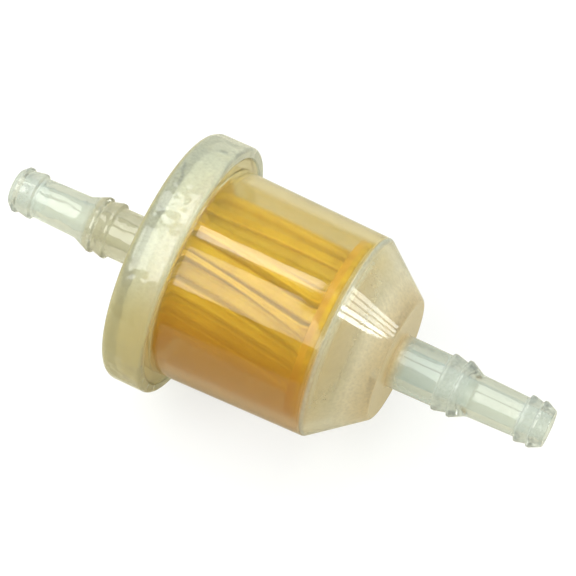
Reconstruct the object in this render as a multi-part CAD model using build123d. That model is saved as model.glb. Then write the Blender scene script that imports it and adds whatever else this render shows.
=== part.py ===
"""Inline fuel filter for small engines: a see-through housing around a pleated paper cartridge.

The flow axis is +X and the origin is midway between the two stem tips. Fuel enters the bowl's
stem at +X, fills the bowl around the paper, passes inwards through the pleats and the core
tube, and leaves through the cap's spigot and stem at -X. Millimetres and degrees.
"""
from build123d import *

import os
from math import atan2, cos, pi, radians, sin, tan

# Housing. Both stems carry a small pair of barbs for 1/4 inch hose at the tip and a larger
# pair for 5/16 inch hose nearer the body.
OVERALL_LENGTH = 87.5
TIP_X = OVERALL_LENGTH / 2

BOWL_OPEN_RADIUS = 16.35
BOWL_CORNER_RADIUS = 15.75
BOWL_CORNER_X = 11.55
BOWL_NOSE_RADIUS = 9.5
BOWL_NOSE_X = 19.5
BOWL_WALL = 1.5
BOWL_RIM_X = -17.0
FLANGE_RADIUS = 18.1
FLANGE_BACK_X = -15.4
FLANGE_FRONT_X = -12.4

CAP_RADIUS = 19.75
CAP_FACE_X = -18.9
CAP_SKIRT_X = -12.2
CAP_END_WALL = 1.8
SKIRT_INNER_RADIUS = 18.2
GROOVE_RADIUS = 16.5
WELD_GAP = 0.05

SPIGOT_RADIUS = 4.5
SPIGOT_X = -12.8
BORE_TIP_RADIUS = 2.0
BORE_ROOT_RADIUS = 2.5

# Rounds on the housing's edges and corners.
EDGE_ROUND = 0.2
INSIDE_ROUND = 0.4
BARREL_ROUND = 0.5
NOSE_ROUND = 0.9
CAP_FACE_ROUND = 1.5
CAP_SKIRT_ROUND = 0.6

# Barbed stems, as steps along the axis from the housing's face to the last pair of barbs.
INLET_STEM = {
    "seat": 7.3,
    "large_pitch": 2.4,
    "ramp": 2.2,
    "neck": 7.4,
    "small_pitch": 2.0,
    "root_radius": 4.1,
    "neck_radii": (3.25, 3.05),
}
OUTLET_STEM = {
    "seat": 7.9,
    "large_pitch": 2.3,
    "ramp": 2.6,
    "neck": 7.45,
    "small_pitch": 2.4,
    "root_radius": 3.95,
    "neck_radii": (3.3, 3.12),
}
SMALL_BARB_RADIUS = 3.6
LARGE_BARB_RADIUS = 4.4
BARB_LAND = 0.4
BARB_BACK = 0.25
BARB_ROUND = 0.08
VALLEY_DEPTH_SMALL = 0.35
VALLEY_DEPTH_LARGE = 0.45
TIP_RADIUS = 2.8
TIP_ROUND = 0.25
TIP_BARB_ROUND = 0.15
STEM_DRAFT = 0.1
STEM_ROOT_FILLET = 0.5
NECK_ROOT_FILLET = 1.2

# Paper cartridge.
PLEATS = 26
PAPER_THICKNESS = 0.4
FOLD_RADIUS = 0.15
FOLD_STEPS = 60
PAPER_OUTER_RADIUS = 13.6
PAPER_INNER_RADIUS = 7.8
PAPER_START_X = -14.6
PAPER_END_X = 9.2
SEAM_ANGLE = 2.2
SEAM_TOP_RADIUS = 10.0
SEAM_FILL = 0.8

PLATE_RADIUS = 14.1
PLATE_THICKNESS = 0.8
PLATE_ROUND = 0.3
POTTING_RADIUS = 13.9
POTTING_DEPTH = 1.1
POTTING_FLOOR = 0.4
LOCATOR_HEIGHT = 1.6
LOCATOR_WALL = 0.8

CORE_RADIUS = 7.5
CORE_WALL = 0.7
CORE_HOLE_RADIUS = 1.2
CORE_HOLE_ROWS = 7
CORE_HOLES_AROUND = 8
DRILL_LENGTH = 2 * CORE_RADIUS + 2
FIT_CLEARANCE = 0.05

# Worked out from the above.
BOWL_INNER_OPEN_RADIUS = BOWL_OPEN_RADIUS - BOWL_WALL
BOWL_INNER_CORNER_RADIUS = BOWL_CORNER_RADIUS - BOWL_WALL
CONE_ANGLE = atan2(BOWL_CORNER_RADIUS - BOWL_NOSE_RADIUS, BOWL_NOSE_X - BOWL_CORNER_X)
BOWL_INNER_CORNER_X = BOWL_CORNER_X - BOWL_WALL * tan(CONE_ANGLE / 2)
BOWL_INNER_NOSE_X = BOWL_NOSE_X - BOWL_WALL
BOWL_INNER_NOSE_RADIUS = BOWL_NOSE_RADIUS - BOWL_WALL * tan((pi / 2 - CONE_ANGLE) / 2)
CAP_INNER_X = CAP_FACE_X + CAP_END_WALL
OPEN_POTTING_X = PAPER_START_X - POTTING_FLOOR
CLOSED_POTTING_X = PAPER_END_X + POTTING_FLOOR
CORE_INNER_RADIUS = CORE_RADIUS - CORE_WALL


def rounded_face(corners):
    """A face inside a closed outline of (x, y, fillet radius) corners; a fillet of 0 stays sharp."""
    points = [Vector(x, y) for x, y, _ in corners]
    arcs, entries, exits = [], [], []
    for i, (_, _, fillet_radius) in enumerate(corners):
        here = points[i]
        to_last = (points[i - 1] - here).normalized()
        to_next = (points[(i + 1) % len(points)] - here).normalized()
        half_angle = radians(to_last.get_angle(to_next)) / 2
        if fillet_radius == 0:
            entries.append(here)
            exits.append(here)
            continue
        cut = fillet_radius / tan(half_angle)
        entries.append(here + to_last * cut)
        exits.append(here + to_next * cut)
        bisector = (to_last + to_next).normalized()
        crown = here + bisector * fillet_radius * (1 / sin(half_angle) - 1)
        arcs.append(ThreePointArc(entries[-1], crown, exits[-1]))
    lines = [
        Line(exits[i - 1], entries[i])
        for i in range(len(points))
        if (exits[i - 1] - entries[i]).length > 1e-6
    ]
    return make_face(arcs + lines)


def turned(corners):
    """A solid of revolution about the flow axis, from (x, radius, fillet radius) corners."""
    return revolve(rounded_face(corners), Axis.X)


def ring(start_x, end_x, outer_radius, inner_radius):
    """A plain ring about the flow axis."""
    return turned(
        [
            (start_x, inner_radius, 0),
            (end_x, inner_radius, 0),
            (end_x, outer_radius, 0),
            (start_x, outer_radius, 0),
        ]
    )


def disc(start_x, end_x, radius):
    """A plain disc about the flow axis."""
    return Plane.YZ.offset(start_x) * extrude(Circle(radius), end_x - start_x)


def stem_corners(outward, face_x, seat, large_pitch, ramp, neck, small_pitch, root_radius, neck_radii):
    """Outer corners of a barbed stem from its root to its tip, as (x, radius, fillet radius).

    outward is +1 or -1 along X. seat is the plain length for the larger hose, from the housing's
    face to the first barb. Each barb is steep towards the housing and slopes away to the tip.
    The last corner is the fuel bore's edge in the tip.
    """
    seat_radius = root_radius - STEM_DRAFT
    valley_large = LARGE_BARB_RADIUS - VALLEY_DEPTH_LARGE
    valley_small = SMALL_BARB_RADIUS - VALLEY_DEPTH_SMALL
    neck_root_radius, neck_tip_radius = neck_radii
    steps = [
        (0, root_radius, STEM_ROOT_FILLET),
        (seat, seat_radius, BARB_ROUND),
        (BARB_BACK, LARGE_BARB_RADIUS, BARB_ROUND),
        (BARB_LAND, LARGE_BARB_RADIUS, BARB_ROUND),
        (large_pitch - BARB_LAND - BARB_BACK, valley_large, BARB_ROUND),
        (BARB_BACK, LARGE_BARB_RADIUS, BARB_ROUND),
        (BARB_LAND, LARGE_BARB_RADIUS, BARB_ROUND),
        (ramp, neck_root_radius, NECK_ROOT_FILLET),
        (neck, neck_tip_radius, BARB_ROUND),
        (BARB_BACK, SMALL_BARB_RADIUS, BARB_ROUND),
        (BARB_LAND, SMALL_BARB_RADIUS, BARB_ROUND),
        (small_pitch - BARB_LAND - BARB_BACK, valley_small, BARB_ROUND),
        (BARB_BACK, SMALL_BARB_RADIUS, BARB_ROUND),
        (BARB_LAND, SMALL_BARB_RADIUS, TIP_BARB_ROUND),
    ]
    corners, x = [], face_x
    for step, radius, fillet_radius in steps:
        x += outward * step
        corners.append((x, radius, fillet_radius))
    tip_x = outward * TIP_X
    return corners + [(tip_x, TIP_RADIUS, TIP_ROUND), (tip_x, BORE_TIP_RADIUS, TIP_BARB_ROUND)]


def bowl():
    """The bowl: flange, drafted barrel, cone and inlet stem in one moulding."""
    return turned(
        [
            (BOWL_RIM_X, BOWL_INNER_OPEN_RADIUS, EDGE_ROUND),
            (BOWL_RIM_X, BOWL_OPEN_RADIUS, EDGE_ROUND),
            (FLANGE_BACK_X, BOWL_OPEN_RADIUS, 0),
            (FLANGE_BACK_X, FLANGE_RADIUS, EDGE_ROUND),
            (FLANGE_FRONT_X, FLANGE_RADIUS, EDGE_ROUND),
            (FLANGE_FRONT_X, BOWL_OPEN_RADIUS, EDGE_ROUND),
            (BOWL_CORNER_X, BOWL_CORNER_RADIUS, BARREL_ROUND),
            (BOWL_NOSE_X, BOWL_NOSE_RADIUS, NOSE_ROUND),
            *stem_corners(1, BOWL_NOSE_X, **INLET_STEM),
            (BOWL_INNER_NOSE_X, BORE_ROOT_RADIUS, INSIDE_ROUND),
            (BOWL_INNER_NOSE_X, BOWL_INNER_NOSE_RADIUS, INSIDE_ROUND),
            (BOWL_INNER_CORNER_X, BOWL_INNER_CORNER_RADIUS, INSIDE_ROUND),
        ]
    )


def cap():
    """The cap: end wall, skirt over the bowl's flange, outlet stem and the spigot inside."""
    return turned(
        [
            (CAP_SKIRT_X, SKIRT_INNER_RADIUS, EDGE_ROUND),
            (CAP_SKIRT_X, CAP_RADIUS, CAP_SKIRT_ROUND),
            (CAP_FACE_X, CAP_RADIUS, CAP_FACE_ROUND),
            *stem_corners(-1, CAP_FACE_X, **OUTLET_STEM),
            (SPIGOT_X, BORE_ROOT_RADIUS, EDGE_ROUND),
            (SPIGOT_X, SPIGOT_RADIUS, EDGE_ROUND),
            (CAP_INNER_X, SPIGOT_RADIUS, INSIDE_ROUND),
            (CAP_INNER_X, GROOVE_RADIUS, BARB_ROUND),
            (FLANGE_BACK_X - WELD_GAP, GROOVE_RADIUS, 0),
            (FLANGE_BACK_X - WELD_GAP, SKIRT_INNER_RADIUS, BARB_ROUND),
        ]
    )


def polar(radius, angle):
    """A point at a radius and an angle in degrees."""
    return Vector(radius * cos(radians(angle)), radius * sin(radians(angle)))


def fold_radii(apex_outer, apex_inner):
    """Radii of the sheet's sharp folds that leave the rounded folds ending at the apex radii."""
    half_step = pi / PLEATS
    bend = FOLD_RADIUS + PAPER_THICKNESS / 2
    outer, inner = apex_outer, apex_inner
    for _ in range(FOLD_STEPS):
        inner_angle = atan2(outer * sin(half_step), outer * cos(half_step) - inner)
        outer_angle = inner_angle - half_step
        outer = apex_outer - PAPER_THICKNESS / 2 + bend * (1 / sin(outer_angle) - 1)
        inner = apex_inner + PAPER_THICKNESS / 2 - bend * (1 / sin(inner_angle) - 1)
    return outer, inner


def sheet_face():
    """End view of the pleated sheet: one strip folded to and fro, open at the seam."""
    outer, inner = fold_radii(PAPER_OUTER_RADIUS, PAPER_INNER_RADIUS)
    step = 180 / PLEATS
    middle = [polar(PAPER_INNER_RADIUS, SEAM_ANGLE)]
    middle += [polar(outer if i % 2 else inner, i * step) for i in range(1, 2 * PLEATS)]
    middle += [polar(PAPER_INNER_RADIUS, -SEAM_ANGLE)]

    def side(sign):
        """The middle line moved sideways by half the paper's thickness, with rounded folds."""
        half = sign * PAPER_THICKNESS / 2
        corners = []
        for i, here in enumerate(middle):
            ahead = (middle[min(i + 1, len(middle) - 1)] - middle[min(i, len(middle) - 2)]).normalized()
            behind = (middle[max(i, 1)] - middle[max(i - 1, 0)]).normalized()
            normal = (ahead + behind).normalized().rotate(Axis.Z, 90)
            stretch = 1 / cos(radians(behind.get_angle(ahead)) / 2)
            moved = here + normal * half * stretch
            turns_left = behind.cross(ahead).Z > 0
            is_end = i in (0, len(middle) - 1)
            on_outside = turns_left != (sign > 0)
            radius = FOLD_RADIUS + (PAPER_THICKNESS if on_outside else 0)
            corners.append((moved.X, moved.Y, 0 if is_end else radius))
        return corners

    return rounded_face(side(1) + side(-1)[::-1])


def along_axis(face, start_x, end_x):
    """A face drawn end-on, pulled out along the flow axis from start_x to end_x."""
    return Plane.YZ.offset(start_x) * extrude(face, end_x - start_x)


def seam_bead():
    """Hot-melt bead in the valley where the sheet's two edges meet."""
    half_angle = SEAM_FILL * 180 / PLEATS
    wedge = make_face(
        Polyline(
            polar(PAPER_INNER_RADIUS, 0),
            polar(SEAM_TOP_RADIUS, half_angle),
            polar(SEAM_TOP_RADIUS, -half_angle),
            close=True,
        )
    )
    bead = along_axis(wedge - sheet_face(), PAPER_START_X, PAPER_END_X)
    return Part() + max(bead.solids(), key=lambda s: s.volume)


def core_tube():
    """Perforated tube that keeps the pleats from caving in."""
    start_x = OPEN_POTTING_X + FIT_CLEARANCE
    end_x = CLOSED_POTTING_X - FIT_CLEARANCE
    tube = ring(start_x, end_x, CORE_RADIUS, CORE_INNER_RADIUS)
    pitch = (end_x - start_x) / (CORE_HOLE_ROWS + 1)
    drills = []
    for row in range(1, CORE_HOLE_ROWS + 1):
        for hole in range(CORE_HOLES_AROUND // 2):
            angle = (hole + 0.5 * (row % 2)) * 360 / CORE_HOLES_AROUND
            drill = Cylinder(CORE_HOLE_RADIUS, DRILL_LENGTH)
            drills.append(Pos(start_x + row * pitch, 0, 0) * Rot(angle, 0, 0) * drill)
    return tube - drills


def closed_end_plate():
    """Disc that shuts the cartridge's end at the cone, with a spigot ring inside the core tube."""
    locator_radius = CORE_INNER_RADIUS - FIT_CLEARANCE
    plate = disc(CLOSED_POTTING_X, CLOSED_POTTING_X + PLATE_THICKNESS, PLATE_RADIUS)
    plate = chamfer(plate.edges().group_by(Axis.X)[-1], EDGE_ROUND)
    locator = ring(
        CLOSED_POTTING_X - LOCATOR_HEIGHT, CLOSED_POTTING_X, locator_radius, locator_radius - LOCATOR_WALL
    )
    return plate + locator


def open_end_plate():
    """Ring that closes the pleats at the cap, with a collar that grips the cap's spigot."""
    bore = SPIGOT_RADIUS + FIT_CLEARANCE
    locator_radius = CORE_INNER_RADIUS - FIT_CLEARANCE
    face_x = OPEN_POTTING_X - PLATE_THICKNESS
    inner_x = OPEN_POTTING_X + LOCATOR_HEIGHT
    return turned(
        [
            (face_x, bore, PLATE_ROUND),
            (inner_x, bore, 0),
            (inner_x, locator_radius, PLATE_ROUND),
            (OPEN_POTTING_X, locator_radius, 0),
            (OPEN_POTTING_X, PLATE_RADIUS, 0),
            (face_x, PLATE_RADIUS, PLATE_ROUND),
        ]
    )


def potting(plate_x, inward, cartridge):
    """Ring of potting compound on a plate, with the pleats' ends and the seam sunk into it."""
    bore = CORE_RADIUS + FIT_CLEARANCE
    start_x, end_x = sorted((plate_x, plate_x + inward * POTTING_DEPTH))
    return ring(start_x, end_x, POTTING_RADIUS, bore) - cartridge


sheet = along_axis(sheet_face(), PAPER_START_X, PAPER_END_X)
bead = seam_bead()
cartridge = [sheet, bead]

nodes = {
    "bowl": bowl(),
    "cap": cap(),
    "pleated_paper": sheet,
    "seam_bead": bead,
    "core_tube": core_tube(),
    "open_end_plate": open_end_plate(),
    "closed_end_plate": closed_end_plate(),
    "open_end_potting": potting(OPEN_POTTING_X, 1, cartridge),
    "closed_end_potting": potting(CLOSED_POTTING_X, -1, cartridge),
}

os.makedirs("parts", exist_ok=True)
for name, shape in nodes.items():
    export_step(shape, f"parts/{name}.step")
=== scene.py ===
"""Looks for the inline fuel filter: materials, a paper cartridge with uneven pleats, light and camera.

Everything is in metres in the CAD frame. The flow axis is X, the cap is towards -X and the bowl's
cone towards +X.
"""
import math

import bpy
import numpy as np
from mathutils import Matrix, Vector, noise


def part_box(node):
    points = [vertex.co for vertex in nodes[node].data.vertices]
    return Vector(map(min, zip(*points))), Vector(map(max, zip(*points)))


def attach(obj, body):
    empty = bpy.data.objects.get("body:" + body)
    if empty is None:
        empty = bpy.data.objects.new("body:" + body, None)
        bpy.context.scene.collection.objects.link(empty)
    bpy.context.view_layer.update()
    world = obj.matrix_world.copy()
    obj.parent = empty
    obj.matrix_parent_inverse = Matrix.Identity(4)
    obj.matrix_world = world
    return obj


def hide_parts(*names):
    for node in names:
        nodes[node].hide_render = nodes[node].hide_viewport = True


MM = 0.001

# Camera, as a distance and two angles from the object, with small sideways aims.
CAMERA_AZIMUTH = math.radians(27.0)
CAMERA_ELEVATION = math.radians(63.0)
CAMERA_DISTANCE = 381 * MM
CAMERA_LENS = 162.5
CAMERA_CLIP = 10 * MM
CAMERA_AIM_RIGHT = 1.63 * MM
CAMERA_AIM_UP = 2.55 * MM

# Pleated sheet.
PLEATS = 26
PAPER_THICKNESS = 0.36 * MM
VALLEY_BEND = 0.36 * MM
TUBE_CLEARANCE = 0.3 * MM
SEAM_HALF_GAP = 0.3 * MM
FOLD_STEPS = 10
FLANK_STEPS = 4
PAPER_SECTIONS = 72

# Unevenness of the pleats: of the crests' widths, of the gaps between them and of how far out they reach.
CREST_UNEVENNESS = 1.1
GAP_SHARE = 0.026
GAP_UNEVENNESS = 1.2
PLEAT_SHORTFALL = 0.35 * MM
PLEAT_LEAN = 0.25

# How fast the pleats change along the axis, and how short the even part at each end is.
PLEAT_WAVE = 60 * MM
END_FADE = 2 * MM

# Where the pleats' unevenness is read from the noise: the step from pleat to pleat, and the slice.
CREST_NOISE_STEP = 2.31
CREST_NOISE_SLICE = 0.5
GAP_NOISE_SCALE = 1.7
REACH_NOISE_STEP = 3.7
REACH_NOISE_SLICE = 7.7

# Nylon. The skin reflects, the body blurs what is behind it, and milk lets this share of its light through.
# Densities are per metre.
NYLON_IOR = 1.53
INNER_IOR = 1.3
SKIN_ROUGHNESS = 0.04
HAZE_ROUGHNESS = 0.2
HAZE_COLOR = (0.985, 0.99, 0.97)
SHADOW_COLOR = (0.97, 0.97, 0.95)
MILK_COLOR = (1, 1, 0.97)
MILK_DENSITY = 12.0
MILK_ANISOTROPY = 0.2
MILK_THROUGH = 0.5
TINT_COLOR = (0.92, 0.92, 0.72)
TINT_DENSITY = 30.0
GRAIN_MM = 0.6
GRAIN_DEPTH = 0.01 * MM
GRAIN_STRENGTH = 0.1

# Milk along the flow axis, as (x in mm, colour, share).
MILK = (0.50, 0.58, 0.59)
FROST = (0.60, 0.65, 0.63)
PALE = (0.67, 0.69, 0.58)
CREAM = (0.92, 0.84, 0.60)
# Amber milk over the barrel, in front of the paper.
AMBER_MILK = (0.80, 0.56, 0.07)
TAN = (0.86, 0.74, 0.47)
SAND = (0.84, 0.77, 0.58)
# Painted shade: darker olive milk on the root and barb of the cap's stem, beside the cap.
PAINTED_ROOT_SHADE = (0.51, 0.48, 0.34)
RIM = (0.52, 0.47, 0.27)
# Milk at the cone's nose, tinted amber as a painted reflection of the cartridge.
NOSE_MILK_AND_REFLECTION = (0.72, 0.57, 0.33)
BOWL_ZONES = (
    (-17, CREAM, 0.25), (-12.9, CREAM, 0.25),
    (-12.3, AMBER_MILK, 0.16), (11.1, AMBER_MILK, 0.16),
    (11.4, PALE, 0.6), (11.8, PALE, 0.6),
    # The amber tint at the cone's nose is a painted reflection of the cartridge.
    (12.2, TAN, 0.25), (15, SAND, 0.3), (16.5, SAND, 0.75), (19.7, NOSE_MILK_AND_REFLECTION, 0.75),
    (21, MILK, 0.3), (26.5, MILK, 0.25),
    (27, FROST, 0.4), (30.3, FROST, 0.4),
    (31, MILK, 0.15), (39, MILK, 0.15),
    (39.5, FROST, 0.4), (43.75, FROST, 0.3),
)
CAP_ZONES = (
    (-43.75, FROST, 0.3), (-39.5, FROST, 0.4),
    (-39, MILK, 0.15), (-31, MILK, 0.15),
    # The cap's stem root and barb, in painted shade.
    (-30.3, PAINTED_ROOT_SHADE, 0.4), (-27, PAINTED_ROOT_SHADE, 0.4),
    (-26.5, PAINTED_ROOT_SHADE, 0.3), (-20, PAINTED_ROOT_SHADE, 0.3),
    (-19.2, RIM, 0.6), (-18.5, RIM, 0.6),
    (-17.8, PALE, 0.5), (-12.2, PALE, 0.5),
)

# How uneven the milk is, and over what distance.
MOTTLE = 0.35
MOTTLE_MM = 0.5

# Extra share of milk where the wall is seen edge on and so is thicker along the view.
EDGE_MILK = 0.25
EDGE_START = 0.2
EDGE_FULL = 0.7

# How nylon darkens towards -Y, the side away from the light: colour, share, Y range, and stations along X.
# The cap's starts beyond its face and stops inside the bowl. The bowl's covers the barrel only.
BOWL_SHADE = ((0.58, 0.27, 0.014), 0.55, (-6 * MM, -15 * MM), (-12.2 * MM, 11.55 * MM))
CAP_SHADE = ((0.62, 0.53, 0.26), 0.68, (-8 * MM, -18 * MM), (-20 * MM, 0))
SHADE_FADE = 0.4 * MM

# Slow waves in the moulded skins, as depth and length in mm.
BOWL_RIPPLE = (0.03, 6.0)
CAP_RIPPLE = (0.3, 2.5)

# Filter paper: amber stops through the noise, fibres that run along the axis, and larger blotches.
PAPER_STOPS = ((0.3, (0.72, 0.46, 0.009)), (0.5, (0.84, 0.60, 0.018)), (0.7, (0.94, 0.76, 0.04)))
PAPER_ROUGHNESS = 0.4
PAPER_SHEEN = 0.6
PAPER_SHEEN_COLOR = (1, 0.95, 0.55)
PAPER_TRANSLUCENCY = 0.65
FIBRE_MM = 0.35
FIBRE_STRETCH = (0.35, 1, 1)
FIBRE_SHARE = 0.4
FIBRE_DEPTH = 0.05 * MM
FIBRE_STRENGTH = 0.5
BLOTCH_MM = 5.0

# Potting, end plates and hot melt, each as the dark and the light colour of its clouds.
CLOUD_MM = 2.0
CLOUD_RANGE = (0.35, 0.65)
POTTING = ((0.47, 0.21, 0.006), (0.68, 0.37, 0.018))
PLATE = ((0.74, 0.62, 0.38), (0.84, 0.72, 0.48))
MELT = ((0.75, 0.50, 0.18), (0.85, 0.62, 0.28))
CARTRIDGE_SHEEN = 0.25
DIMPLE_MM = 0.8
DIMPLE_DEPTH = 0.05 * MM
DIMPLE_STRENGTH = 0.2

# The plates' rims, beyond this radius, are soaked with potting in streaks along the axis.
PLATE_FACE = 13.85 * MM
SOAKED = ((0.42, 0.24, 0.005), (0.66, 0.43, 0.012))
STREAK_MM = 1.2
STREAK_STRETCH = (0.1, 1, 1)

# Floor, a little below the cap so that nothing touches it.
FLOOR_SIZE = 4.0
FLOOR_DROP = 0.05 * MM
FLOOR_STOPS = ((0.3, (0.93, 0.93, 0.93)), (0.7, (0.95, 0.95, 0.95)))
FLOOR_CLOUD_MM = 40.0
FLOOR_ROUGHNESS = 0.9
FLOOR_BOUNCE = (0.62, 0.58, 0.46)
FLOOR_GLOW = 0.6

# Window beyond the inlet stem, as narrow panes: bearing from +X, start and end of its height as
# angles, and radiance.
WINDOW_DISTANCE = 0.55
WINDOW_PANE_ANGLE = 4.2
WINDOW = (
    (27.5, 14, 34, 7),
    (21.5, 14, 34, 7),
    (15.5, 14, 34, 6),
    (9.5, 25.3, 34, 14),
    (3.5, 25.4, 34, 14),
)

# Soft boxes overhead: name, radiance, and where each lies along X and Y.
OVERHEAD_HEIGHT = 0.42
OVERHEAD = (
    ("cap_box_near", 4.4, (-0.455, -0.118), (-0.466, -0.045)),
    ("cap_box_far", 3.6, (-0.455, -0.118), (0.045, 0.25)),
    ("barrel_box_near", 2.9, (-0.118, -0.055), (-0.466, -0.045)),
    ("barrel_box_far", 5.5, (-0.118, -0.055), (0.045, 0.14)),
    ("side_box_near", 3.6, (-0.035, 0.06), (-0.46, -0.02)),
    ("side_box_far", 3.6, (-0.035, 0.06), (0.03, 0.40)),
)
LIGHT_COLOR = (0.97, 1.0, 0.98)

# The room's own light from the -Y side and from the +Y side. It turns from one into the other while the
# direction's Y is between minus and plus ROOM_REACH.
ROOM_DIM = (0.28, 0.26, 0.20)
ROOM_BRIGHT = (0.50, 0.55, 0.55)
ROOM_REACH = 0.8


def socket_of(node, key):
    """A node's input by number (i0, i1 and so on) or by name, with spaces as underscores."""
    if key[0] == "i" and key[1:].isdigit():
        return node.inputs[int(key[1:])]
    return node.inputs[key.replace("_", " ")]


def shader(tree, kind, settings=None, **inputs):
    """Adds a node, sets its attributes, and sets or links its inputs. Colours are triples."""
    made = tree.nodes.new(kind)
    for key, value in (settings or {}).items():
        setattr(made, key, value)
    for key, value in inputs.items():
        socket = socket_of(made, key)
        if isinstance(value, bpy.types.NodeSocket):
            tree.links.new(value, socket)
        elif socket.type == "RGBA":
            socket.default_value = (*value, 1)
        else:
            socket.default_value = value
    return made


def ramp(tree, factor, stops):
    """A colour ramp through (position, colour) stops."""
    made = shader(tree, "ShaderNodeValToRGB", i0=factor)
    elements = made.color_ramp.elements
    while len(elements) < len(stops):
        elements.new(0.5)
    for element, (position, color) in zip(elements, stops):
        element.position = position
        element.color = (*color, 1.0)
    return made.outputs[0]


def empty_material(name):
    """A material with no nodes, and its tree."""
    material = bpy.data.materials.new(name)
    material.use_nodes = True
    material.node_tree.nodes.clear()
    return material, material.node_tree


def own_place(tree):
    """The object's own coordinates at the point being shaded."""
    return shader(tree, "ShaderNodeTexCoord").outputs["Object"]


def noise_factor(tree, scale_mm, detail=3.0, stretch=(1, 1, 1)):
    """Noise over the object's own coordinates with features about scale_mm across."""
    scaled = shader(tree, "ShaderNodeVectorMath", {"operation": "MULTIPLY"}, i0=own_place(tree), i1=stretch)
    made = shader(
        tree, "ShaderNodeTexNoise", Vector=scaled.outputs[0], Scale=1 / (scale_mm * MM), Detail=detail,
        Roughness=0.5,
    )
    return made.outputs[0]


def smooth_step(tree, value, low, high):
    """0 at or beyond low, 1 at or beyond high, eased between; low may be above high."""
    return shader(
        tree, "ShaderNodeMapRange", {"interpolation_type": "SMOOTHSTEP"}, Value=value, From_Min=low,
        From_Max=high,
    ).outputs[0]


def times(tree, first, second):
    """The product of two values."""
    return shader(tree, "ShaderNodeMath", {"operation": "MULTIPLY"}, i0=first, i1=second).outputs[0]


def mix(tree, share, first, second):
    """One colour turning into another, each a colour triple or a socket."""
    return shader(tree, "ShaderNodeMix", {"data_type": "RGBA"}, i0=share, i6=first, i7=second).outputs[2]


def blend(tree, share, first, second):
    """One surface turning into another, each a shader node."""
    return shader(tree, "ShaderNodeMixShader", Fac=share, i1=first.outputs[0], i2=second.outputs[0])


def milk_by_zone(tree, along, zones):
    """Colour and share of the nylon's milk along the flow axis, from (x, colour, share) stops."""
    start, end = zones[0][0] * MM, zones[-1][0] * MM
    position = shader(tree, "ShaderNodeMapRange", Value=along, From_Min=start, From_Max=end).outputs[0]
    color = ramp(tree, position, [((x * MM - start) / (end - start), color) for x, color, _ in zones])
    for element, (_, _, share) in zip(color.node.color_ramp.elements, zones):
        element.color[3] = share
    mottle = shader(
        tree, "ShaderNodeMapRange", Value=noise_factor(tree, MOTTLE_MM), To_Min=1 - MOTTLE, To_Max=1 + MOTTLE
    ).outputs[0]
    edge_on = shader(tree, "ShaderNodeLayerWeight", Blend=0.5).outputs["Facing"]
    thicker = shader(
        tree, "ShaderNodeMapRange", Value=edge_on, From_Min=EDGE_START, From_Max=EDGE_FULL, To_Max=EDGE_MILK
    ).outputs[0]
    share = shader(
        tree, "ShaderNodeMath", {"operation": "MULTIPLY_ADD"}, i0=color.node.outputs["Alpha"], i1=mottle,
        i2=thicker,
    ).outputs[0]
    return color, share


def shaded_milk(tree, zones, shade_side):
    """Colour and share of the milk, turning into those of the side away from the light."""
    place = shader(tree, "ShaderNodeSeparateXYZ", i0=own_place(tree))
    along, across = place.outputs[0], place.outputs[1]
    milk_color, milk_share = milk_by_zone(tree, along, zones)
    shade_color, shade_share, shade_range, (start, end) = shade_side
    shade = smooth_step(tree, across, *shade_range)
    shade = times(tree, shade, smooth_step(tree, along, start - SHADE_FADE, start + SHADE_FADE))
    shade = times(tree, shade, smooth_step(tree, along, end + SHADE_FADE, end - SHADE_FADE))
    color = mix(tree, shade, milk_color, shade_color)
    share = shader(tree, "ShaderNodeMapRange", Value=shade, To_Min=milk_share, To_Max=shade_share).outputs[0]
    return color, share


def nylon_bumps(tree, ripple):
    """The skin's normal, with slow waves of (depth, length) in mm and a fine grain."""
    depth, length = ripple
    slow = noise_factor(tree, length, detail=1.0)
    waves = shader(tree, "ShaderNodeBump", Strength=1.0, Distance=depth * MM, Height=slow)
    fine = noise_factor(tree, GRAIN_MM, detail=2.0)
    return shader(
        tree, "ShaderNodeBump", Strength=GRAIN_STRENGTH, Distance=GRAIN_DEPTH, Height=fine,
        Normal=waves.outputs[0],
    ).outputs[0]


def nylon(name, zones, shade_side, ripple):
    """Natural nylon: a sharp skin over a hazy body that blurs what is behind it and is milky where thick."""
    material, tree = empty_material(name)
    milk_color, milk_share = shaded_milk(tree, zones, shade_side)
    normal = nylon_bumps(tree, ripple)
    through = shader(
        tree, "ShaderNodeBsdfRefraction", Color=HAZE_COLOR, Roughness=HAZE_ROUGHNESS, IOR=INNER_IOR,
        Normal=normal,
    )
    chalk = shader(tree, "ShaderNodeBsdfDiffuse", Color=milk_color, Normal=normal)
    glow = shader(tree, "ShaderNodeBsdfTranslucent", Color=milk_color, Normal=normal)
    body = blend(tree, milk_share, through, blend(tree, MILK_THROUGH, chalk, glow))
    skin = shader(tree, "ShaderNodeBsdfGlossy", Color=(1, 1, 1), Roughness=SKIN_ROUGHNESS, Normal=normal)
    backfacing = shader(tree, "ShaderNodeNewGeometry").outputs["Backfacing"]
    skin_ior = shader(tree, "ShaderNodeMapRange", Value=backfacing, To_Min=NYLON_IOR, To_Max=INNER_IOR)
    sheen = shader(tree, "ShaderNodeFresnel", IOR=skin_ior.outputs[0], Normal=normal)
    lit = blend(tree, sheen.outputs[0], body, skin)
    shadow = shader(tree, "ShaderNodeBsdfTransparent", Color=SHADOW_COLOR)
    surface = blend(tree, shader(tree, "ShaderNodeLightPath").outputs["Is Shadow Ray"], lit, shadow)
    milk = shader(
        tree, "ShaderNodeVolumeScatter", Color=MILK_COLOR, Density=MILK_DENSITY, Anisotropy=MILK_ANISOTROPY
    )
    tint = shader(tree, "ShaderNodeVolumeAbsorption", Color=TINT_COLOR, Density=TINT_DENSITY)
    inside = shader(tree, "ShaderNodeAddShader", i0=milk.outputs[0], i1=tint.outputs[0])
    shader(tree, "ShaderNodeOutputMaterial", Surface=surface.outputs[0], Volume=inside.outputs[0])
    return material


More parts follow.
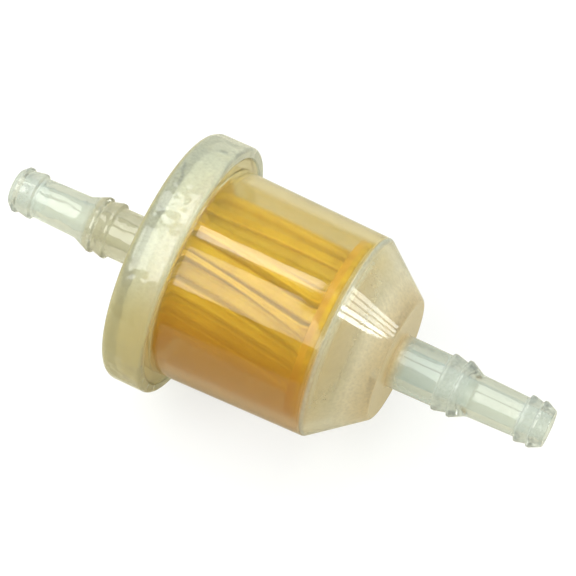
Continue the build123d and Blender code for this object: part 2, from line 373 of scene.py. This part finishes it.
def filter_paper():
    """Resin-treated amber filter paper, fibrous, letting some light through."""
    material, tree = empty_material("filter_paper")
    fibres = noise_factor(tree, FIBRE_MM, detail=4.0, stretch=FIBRE_STRETCH)
    blotches = noise_factor(tree, BLOTCH_MM, detail=2.0)
    mixed = shader(tree, "ShaderNodeMix", {"data_type": "FLOAT"}, Factor=FIBRE_SHARE, A=blotches, B=fibres)
    color = ramp(tree, mixed.outputs[0], PAPER_STOPS)
    bump = shader(tree, "ShaderNodeBump", Strength=FIBRE_STRENGTH, Distance=FIBRE_DEPTH, Height=fibres)
    sheet = shader(
        tree, "ShaderNodeBsdfPrincipled", Base_Color=color, Roughness=PAPER_ROUGHNESS,
        Specular_IOR_Level=PAPER_SHEEN, Specular_Tint=PAPER_SHEEN_COLOR, Normal=bump.outputs[0],
    )
    through = shader(tree, "ShaderNodeBsdfTranslucent", Color=color, Normal=bump.outputs[0])
    surface = blend(tree, PAPER_TRANSLUCENCY, sheet, through)
    shader(tree, "ShaderNodeOutputMaterial", Surface=surface.outputs[0])
    return material


def clouds(tree, colors, size_mm, stretch=(1, 1, 1)):
    """A dark colour and a light one in soft clouds."""
    return ramp(tree, noise_factor(tree, size_mm, stretch=stretch), list(zip(CLOUD_RANGE, colors)))


def cloudy_plastic(name, colors, roughness, translucency, rim=None):
    """Moulded plastic or set resin, a little uneven in colour and slightly see-through.

    rim is (radius, colours): beyond that distance from the flow axis, streaks of those colours take over.
    """
    material, tree = empty_material(name)
    color = clouds(tree, colors, CLOUD_MM)
    if rim:
        radius, rim_colors = rim
        across = shader(
            tree, "ShaderNodeVectorMath", {"operation": "MULTIPLY"}, i0=own_place(tree), i1=(0, 1, 1)
        )
        reach = shader(tree, "ShaderNodeVectorMath", {"operation": "LENGTH"}, i0=across.outputs[0])
        outside = shader(
            tree, "ShaderNodeMath", {"operation": "GREATER_THAN"}, i0=reach.outputs["Value"], i1=radius
        )
        color = mix(tree, outside.outputs[0], color, clouds(tree, rim_colors, STREAK_MM, STREAK_STRETCH))
    dimples = noise_factor(tree, DIMPLE_MM)
    bump = shader(tree, "ShaderNodeBump", Strength=DIMPLE_STRENGTH, Distance=DIMPLE_DEPTH, Height=dimples)
    solid = shader(
        tree, "ShaderNodeBsdfPrincipled", Base_Color=color, Roughness=roughness,
        Specular_IOR_Level=CARTRIDGE_SHEEN, Normal=bump.outputs[0],
    )
    through = shader(tree, "ShaderNodeBsdfTranslucent", Color=color)
    surface = blend(tree, translucency, solid, through)
    shader(tree, "ShaderNodeOutputMaterial", Surface=surface.outputs[0])
    return material


def give(obj, material, smooth=True):
    """Puts one material on an object and sets its shading."""
    obj.data.materials.clear()
    obj.data.materials.append(material)
    obj.data.polygons.foreach_set("use_smooth", [smooth] * len(obj.data.polygons))


def crest_angles(x, fade, lean):
    """Angles of the crests' and the valleys' middles round the axis at station x, and the crests' bends.

    Crests of uneven width and the gaps between them are laid side by side, then scaled to a full turn.
    lean turns them about the axis, most at the side opposite the seam and none at the seam.
    """
    edges, angle = [], 0.0
    for i in range(PLEATS):
        place = Vector((i * CREST_NOISE_STEP, x / PLEAT_WAVE, CREST_NOISE_SLICE))
        gap = GAP_SHARE * (1 + fade * GAP_UNEVENNESS * noise.noise(place * GAP_NOISE_SCALE))
        width = 1 + fade * CREST_UNEVENNESS * noise.noise(place)
        edges += [angle + gap / 2, angle + gap / 2 + width]
        angle += gap + width
    edges = np.array(edges) * 2 * math.pi / angle
    edges += lean * (1 - np.cos(edges)) / 2
    starts, ends = edges[::2], edges[1::2]
    return (starts + ends) / 2, (ends[:-1] + starts[1:]) / 2, (ends - starts) / 2


def fold_centres(x, ends, radii):
    """Centre, bend radius and whether it bulges outwards, for every fold at station x from the seam round."""
    fade = min(1.0, (x - ends[0]) / END_FADE, (ends[1] - x) / END_FADE)
    lean = PLEAT_LEAN * ((x - ends[0]) / (ends[1] - ends[0]) - 0.5)
    crests, valleys, half_angles = crest_angles(x, fade, lean)
    folds = []
    for i in range(PLEATS):
        place = Vector((i * REACH_NOISE_STEP, x / PLEAT_WAVE, REACH_NOISE_SLICE))
        slack = 0.5 + 0.5 * noise.noise(place)
        tip = radii[1] - fade * slack * PLEAT_SHORTFALL - PAPER_THICKNESS / 2
        bend = tip * half_angles[i] / (1 + half_angles[i]) - PAPER_THICKNESS / 2
        folds.append((tip - bend, crests[i], bend, True))
        if i < PLEATS - 1:
            folds.append((radii[0] + VALLEY_BEND + PAPER_THICKNESS / 2, valleys[i], VALLEY_BEND, False))
    return [(r * np.array((math.cos(a), math.sin(a))), bend, outwards) for r, a, bend, outwards in folds]


def flank_ends(fold, following):
    """Where the straight line from one fold to the following one leaves the first and meets the second."""
    (c1, r1, outwards), (c2, r2, _) = fold, following
    gap = c2 - c1
    lean = math.acos((r1 + r2) / float(np.hypot(*gap)))
    base = math.atan2(gap[1], gap[0])
    # The line leaves an outward fold on its far side, so the turn's sense picks the tangent.
    side = 1.0 if outwards else -1.0
    direction = np.array((math.cos(base + side * lean), math.sin(base + side * lean)))
    return c1 + r1 * direction, c2 - r2 * direction


def flank(leave, arrive):
    """Points from one fold to the next, ends included."""
    shares = [j / FLANK_STEPS for j in range(FLANK_STEPS + 1)]
    return [leave * (1 - t) + arrive * t for t in shares]


def bend_points(fold, arrive, leave):
    """Points round a fold from where one flank meets it to where the next leaves, ends left out."""
    centre, bend, outwards = fold
    a, b = arrive - centre, leave - centre
    start = math.atan2(a[1], a[0])
    turn = (math.atan2(b[1], b[0]) - start) % (2 * math.pi)
    if not outwards:
        turn -= 2 * math.pi
    angles = [start + turn * j / FOLD_STEPS for j in range(1, FOLD_STEPS)]
    return [centre + bend * np.array((math.cos(angle), math.sin(angle))) for angle in angles]


def sheet_line(x, ends, radii):
    """The sheet's middle line at station x, as points and unit normals in the YZ plane."""
    start = np.array((radii[0] + PAPER_THICKNESS, SEAM_HALF_GAP))
    end = np.array((radii[0] + PAPER_THICKNESS, -SEAM_HALF_GAP))
    folds = [(start, 0.0, False), *fold_centres(x, ends, radii), (end, 0.0, False)]
    flanks = [flank_ends(fold, following) for fold, following in zip(folds, folds[1:])]
    points = flank(*flanks[0])
    for fold, (_, arrive), (leave, next_arrive) in zip(folds[1:], flanks, flanks[1:]):
        points += bend_points(fold, arrive, leave) + flank(leave, next_arrive)
    points = np.array(points)
    tangents = np.gradient(points, axis=0)
    tangents /= np.linalg.norm(tangents, axis=1)[:, None]
    normals = np.stack((-tangents[:, 1], tangents[:, 0]), axis=1)
    return points, normals


def mesh_object(name, vertices, faces):
    """A new object in the scene, from vertices and faces."""
    mesh = bpy.data.meshes.new(name)
    mesh.from_pydata([tuple(v) for v in vertices], [], faces)
    mesh.validate()
    mesh.update()
    made = bpy.data.objects.new(name, mesh)
    bpy.context.scene.collection.objects.link(made)
    return made


def sheet_faces(count):
    """Faces between outlines of count points that follow one another, and one at each end."""
    faces = []
    for s in range(PAPER_SECTIONS - 1):
        for j in range(count):
            k = (j + 1) % count
            faces.append((s * count + j, s * count + k, (s + 1) * count + k, (s + 1) * count + j))
    last = (PAPER_SECTIONS - 1) * count
    for j in range(count // 2 - 1):
        mirror = count - 1 - j
        faces.append((j, mirror, mirror - 1, j + 1))
        faces.append((last + j, last + j + 1, last + mirror - 1, last + mirror))
    return faces


def pleated_sheet():
    """The folded paper, with pleats that lean and wander as hand-loaded ones do."""
    low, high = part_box("pleated_paper")
    ends = (low.x, high.x)
    radii = (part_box("core_tube")[1].z + TUBE_CLEARANCE, high.z)
    rings = []
    for x in np.linspace(*ends, PAPER_SECTIONS):
        points, normals = sheet_line(float(x), ends, radii)
        up = points + normals * PAPER_THICKNESS / 2
        down = points - normals * PAPER_THICKNESS / 2
        outline = np.concatenate((down, up[::-1]))
        rings.append(np.column_stack((np.full(len(outline), x), outline)))
    sheet = mesh_object("filter_paper", np.concatenate(rings), sheet_faces(len(rings[0])))
    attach(sheet, "root")
    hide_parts("pleated_paper")
    return sheet


def light(name, location, aim, radiance, size):
    """A rectangular light of a given radiance, turned to face a point, or down if there is none."""
    data = bpy.data.lights.new(name, "AREA")
    data.shape = "RECTANGLE"
    data.size, data.size_y = size
    data.energy = radiance * math.pi * size[0] * size[1]
    data.color = LIGHT_COLOR
    made = bpy.data.objects.new(name, data)
    made.location = location
    if aim is not None:
        made.rotation_euler = (Vector(aim) - Vector(location)).to_track_quat("-Z", "Y").to_euler()
    bpy.context.scene.collection.objects.link(made)


def floor_paper():
    """Pale floor. Only the camera sees it white, so the light it throws up stays soft and dim."""
    material, tree = empty_material("floor_paper")
    pale = ramp(tree, noise_factor(tree, FLOOR_CLOUD_MM), FLOOR_STOPS)
    camera_ray = shader(tree, "ShaderNodeLightPath").outputs["Is Camera Ray"]
    color = mix(tree, camera_ray, FLOOR_BOUNCE, pale)
    board = shader(tree, "ShaderNodeBsdfPrincipled", Base_Color=color, Roughness=FLOOR_ROUGHNESS)
    glow = shader(tree, "ShaderNodeEmission", Strength=1.0)
    surface = blend(tree, times(tree, camera_ray, FLOOR_GLOW), board, glow)
    shader(tree, "ShaderNodeOutputMaterial", Surface=surface.outputs[0])
    return material


def lay_floor():
    """A wide square floor just below the cap."""
    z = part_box("cap")[0].z - FLOOR_DROP
    half = FLOOR_SIZE / 2
    corners = [(-half, -half, z), (half, -half, z), (half, half, z), (-half, half, z)]
    floor = mesh_object("floor", corners, [(0, 1, 2, 3)])
    give(floor, floor_paper(), smooth=False)


def hang_lights():
    """The soft boxes overhead and the window's panes."""
    for name, radiance, x_range, y_range in OVERHEAD:
        middle = (sum(x_range) / 2, sum(y_range) / 2, OVERHEAD_HEIGHT)
        light(name, middle, None, radiance, size=(x_range[1] - x_range[0], y_range[1] - y_range[0]))
    for bearing, low, high, radiance in WINDOW:
        low, high = (WINDOW_DISTANCE * math.tan(math.radians(angle)) for angle in (low, high))
        away = Vector((math.cos(math.radians(bearing)), math.sin(math.radians(bearing)), 0))
        middle = away * WINDOW_DISTANCE + Vector((0, 0, (low + high) / 2))
        width = WINDOW_DISTANCE * math.radians(WINDOW_PANE_ANGLE)
        light("window_pane", middle, middle - away, radiance, size=(width, high - low))


def light_room():
    """The room's light from all round, dimmer on the -Y side."""
    world = bpy.data.worlds.new("world")
    world.use_nodes = True
    tree = world.node_tree
    place = shader(tree, "ShaderNodeSeparateXYZ", i0=shader(tree, "ShaderNodeTexCoord").outputs["Generated"])
    side = smooth_step(tree, place.outputs[1], -ROOM_REACH, ROOM_REACH)
    tree.links.new(mix(tree, side, ROOM_DIM, ROOM_BRIGHT), tree.nodes["Background"].inputs[0])
    bpy.context.scene.world = world


def place_camera():
    """The camera, at its angles and distance and aimed a little to one side."""
    a, e = CAMERA_AZIMUTH, CAMERA_ELEVATION
    away = Vector((math.sin(a) * math.cos(e), -math.cos(a) * math.cos(e), math.sin(e)))
    right = Vector((math.cos(a), math.sin(a), 0))
    up = away.cross(right)
    data = bpy.data.cameras.new("camera")
    data.lens = CAMERA_LENS
    data.clip_start = CAMERA_CLIP
    camera = bpy.data.objects.new("camera", data)
    camera.location = away * CAMERA_DISTANCE + right * CAMERA_AIM_RIGHT + up * CAMERA_AIM_UP
    camera.rotation_euler = (-away).to_track_quat("-Z", "Y").to_euler()
    bpy.context.scene.collection.objects.link(camera)
    bpy.context.scene.camera = camera
    bpy.context.scene.view_settings.view_transform = "Standard"


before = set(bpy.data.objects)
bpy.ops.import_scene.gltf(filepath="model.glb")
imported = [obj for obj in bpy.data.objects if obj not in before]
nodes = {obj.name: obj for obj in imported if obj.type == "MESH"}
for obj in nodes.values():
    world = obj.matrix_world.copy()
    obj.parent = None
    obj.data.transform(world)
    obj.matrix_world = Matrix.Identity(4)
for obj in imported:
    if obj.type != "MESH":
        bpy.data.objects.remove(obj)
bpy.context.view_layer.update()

give(nodes["bowl"], nylon("bowl_nylon", BOWL_ZONES, BOWL_SHADE, BOWL_RIPPLE))
give(nodes["cap"], nylon("cap_nylon", CAP_ZONES, CAP_SHADE, CAP_RIPPLE))
give(pleated_sheet(), filter_paper())
potting = cloudy_plastic("potting", POTTING, roughness=0.35, translucency=0.3)
plate = cloudy_plastic("cartridge_plastic", PLATE, roughness=0.6, translucency=0.3, rim=(PLATE_FACE, SOAKED))
melt = cloudy_plastic("hot_melt", MELT, roughness=0.25, translucency=0.4)
for name in ("open_end_potting", "closed_end_potting"):
    give(nodes[name], potting, smooth=False)
for name in ("open_end_plate", "closed_end_plate", "core_tube"):
    give(nodes[name], plate, smooth=False)
give(nodes["seam_bead"], melt, smooth=False)
lay_floor()
hang_lights()
light_room()
place_camera()
